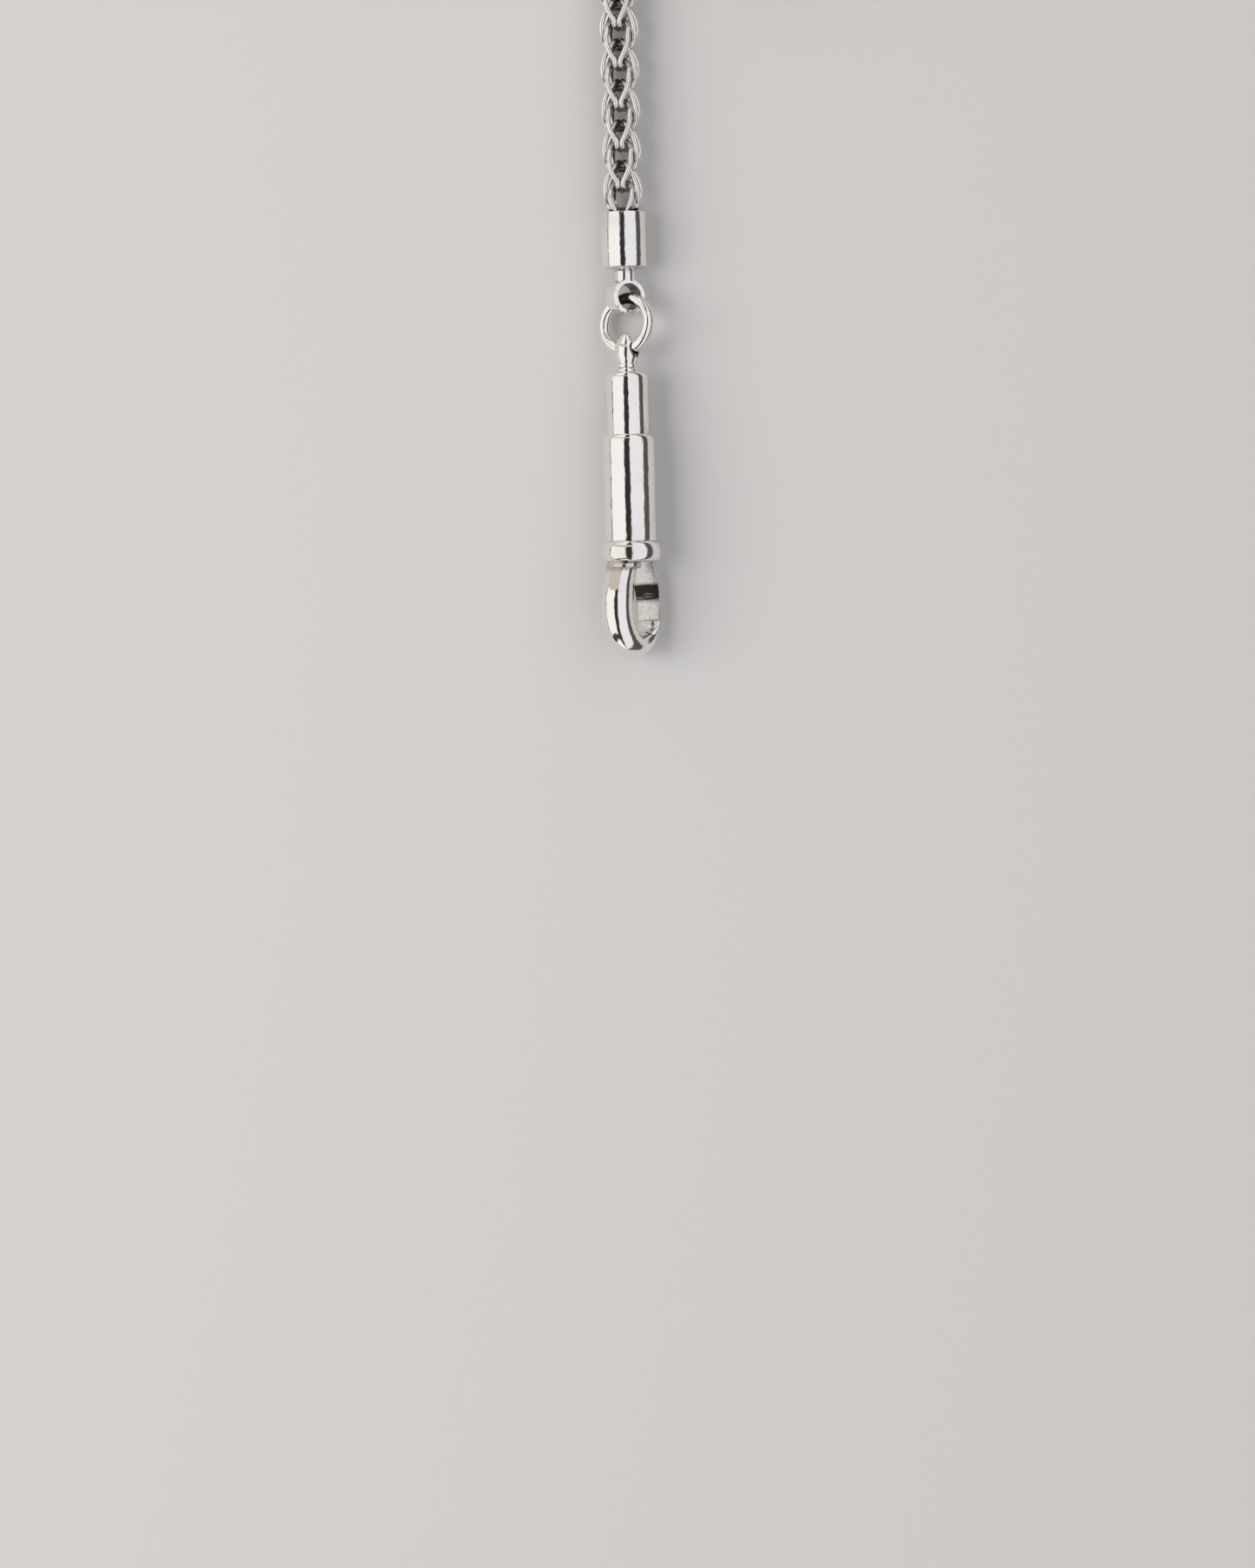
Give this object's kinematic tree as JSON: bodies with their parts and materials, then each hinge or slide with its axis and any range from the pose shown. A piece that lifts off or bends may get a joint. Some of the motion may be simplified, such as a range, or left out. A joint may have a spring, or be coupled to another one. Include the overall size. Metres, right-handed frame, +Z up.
{
  "type": "pocket watch chain",
  "caption": "Woven silver pocket watch chain: soldered end caps and jump rings join it to a swivel clasp, whose sprung sleeve slides to open the hook, and to a T-bar.",
  "frame": {"origin": "on the surface the chain lies on, under the middle of the clasp and the straight run of links", "axes": "+Y along the straight run, from the clasp to the coil; +Z up from the surface; +X to the side the coil lies on"},
  "size_m": [0.0282, 0.1164, 0.0056],
  "materials": {
    "polished_silver": "polished silver",
    "chain_silver": "drawn silver wire",
    "spring_steel": "drawn spring wire"
  },
  "bodies": {
    "near_cap": {"end_cap": "polished_silver", "link_01": "chain_silver"},
    "near_ring": {"jump_ring": "polished_silver"},
    "swivel_head": {"swivel": "polished_silver"},
    "clasp_core": {"hook": "polished_silver", "barrel": "polished_silver", "gate_spring": "spring_steel"},
    "sliding_sleeve": {"sleeve": "polished_silver", "grip_collar": "polished_silver", "gate": "polished_silver"},
    "chain_02": {"link_02": "chain_silver"},
    "chain_03": {"link_03": "chain_silver"},
    "chain_04": {"link_04": "chain_silver"},
    "chain_05": {"link_05": "chain_silver"},
    "chain_06": {"link_06": "chain_silver"},
    "chain_07": {"link_07": "chain_silver"},
    "chain_08": {"link_08": "chain_silver"},
    "chain_09": {"link_09": "chain_silver"},
    "chain_10": {"link_10": "chain_silver"},
    "chain_11": {"link_11": "chain_silver"},
    "chain_12": {"link_12": "chain_silver"},
    "chain_13": {"link_13": "chain_silver"},
    "chain_14": {"link_14": "chain_silver"},
    "coil": {"chain_coil": "chain_silver", "far_end_cap": "polished_silver"},
    "far_ring": {"far_jump_ring": "polished_silver"},
    "bar": {"t_bar": "polished_silver"}
  },
  "joints": [
    {"name": "sleeve_slide", "type": "slide", "parent": "clasp_core", "child": "sliding_sleeve", "axis": [0, 1, 0], "range_m": [0, 0.0045], "stiffness_N_per_m": 80, "springref_m": -0.006, "deforming": ["gate_spring"]},
    {"name": "swivel_turn", "type": "hinge", "parent": "swivel_head", "child": "clasp_core", "pos_m": [0, -0.00522, 0.00255], "axis": [0, 1, 0], "continuous": true},
    {"name": "ring_swing", "type": "hinge", "parent": "near_ring", "child": "swivel_head", "pos_m": [0, -0.00522, 0.00255], "axis": [0.8387, 0, 0.5446], "range_deg": [-25, 25]},
    {"name": "cap_swing", "type": "hinge", "parent": "near_cap", "child": "near_ring", "pos_m": [0, -0.00082, 0.00188], "axis": [0.5, 0, 0.866], "range_deg": [-45, 45]},
    {"name": "link_bend_02", "type": "hinge", "parent": "near_cap", "child": "chain_02", "pos_m": [0, 0.00754, 0.00185], "axis": [-0.1736, 0.0112, 0.9847], "range_deg": [-15, 15]},
    {"name": "link_bend_03", "type": "hinge", "parent": "chain_02", "child": "chain_03", "pos_m": [0, 0.00921, 0.00183], "axis": [0.9848, 0.002, 0.1736], "range_deg": [-15, 15]},
    {"name": "link_bend_04", "type": "hinge", "parent": "chain_03", "child": "chain_04", "pos_m": [0, 0.01088, 0.00181], "axis": [-0.1736, 0.0112, 0.9847], "range_deg": [-15, 15]},
    {"name": "link_bend_05", "type": "hinge", "parent": "chain_04", "child": "chain_05", "pos_m": [0, 0.01255, 0.00179], "axis": [0.9848, 0.002, 0.1736], "range_deg": [-15, 15]},
    {"name": "link_bend_06", "type": "hinge", "parent": "chain_05", "child": "chain_06", "pos_m": [0, 0.01422, 0.00177], "axis": [-0.1736, 0.0112, 0.9847], "range_deg": [-15, 15]},
    {"name": "link_bend_07", "type": "hinge", "parent": "chain_06", "child": "chain_07", "pos_m": [0, 0.01589, 0.00176], "axis": [0.9848, 0.002, 0.1736], "range_deg": [-15, 15]},
    {"name": "link_bend_08", "type": "hinge", "parent": "chain_07", "child": "chain_08", "pos_m": [0, 0.01756, 0.00174], "axis": [-0.1736, 0.0112, 0.9847], "range_deg": [-15, 15]},
    {"name": "link_bend_09", "type": "hinge", "parent": "chain_08", "child": "chain_09", "pos_m": [0, 0.01923, 0.00172], "axis": [0.9848, 0.002, 0.1736], "range_deg": [-15, 15]},
    {"name": "link_bend_10", "type": "hinge", "parent": "chain_09", "child": "chain_10", "pos_m": [0, 0.0209, 0.0017], "axis": [-0.1736, 0.0112, 0.9847], "range_deg": [-15, 15]},
    {"name": "link_bend_11", "type": "hinge", "parent": "chain_10", "child": "chain_11", "pos_m": [0, 0.02257, 0.00168], "axis": [0.9848, 0.002, 0.1736], "range_deg": [-15, 15]},
    {"name": "link_bend_12", "type": "hinge", "parent": "chain_11", "child": "chain_12", "pos_m": [0, 0.02424, 0.00166], "axis": [-0.1736, 0.0112, 0.9847], "range_deg": [-15, 15]},
    {"name": "link_bend_13", "type": "hinge", "parent": "chain_12", "child": "chain_13", "pos_m": [0, 0.02591, 0.00164], "axis": [0.9848, 0.002, 0.1736], "range_deg": [-15, 15]},
    {"name": "link_bend_14", "type": "hinge", "parent": "chain_13", "child": "chain_14", "pos_m": [0, 0.02758, 0.00162], "axis": [-0.1736, 0.0112, 0.9847], "range_deg": [-15, 15]},
    {"name": "coil_bend", "type": "hinge", "parent": "chain_14", "child": "coil", "pos_m": [0, 0.02925, 0.0016], "axis": [0.9848, 0.002, 0.1736], "range_deg": [-8, 8]},
    {"name": "far_ring_swing", "type": "hinge", "parent": "coil", "child": "far_ring", "pos_m": [0.01843, 0.05997, 0.00154], "axis": [0.9903, -0.1392, 0], "range_deg": [-60, 0]},
    {"name": "bar_swing", "type": "hinge", "parent": "far_ring", "child": "bar", "pos_m": [0.01599, 0.05813, 0.00154], "axis": [0.1392, 0.9903, 0], "range_deg": [0, 80]}
  ]
}
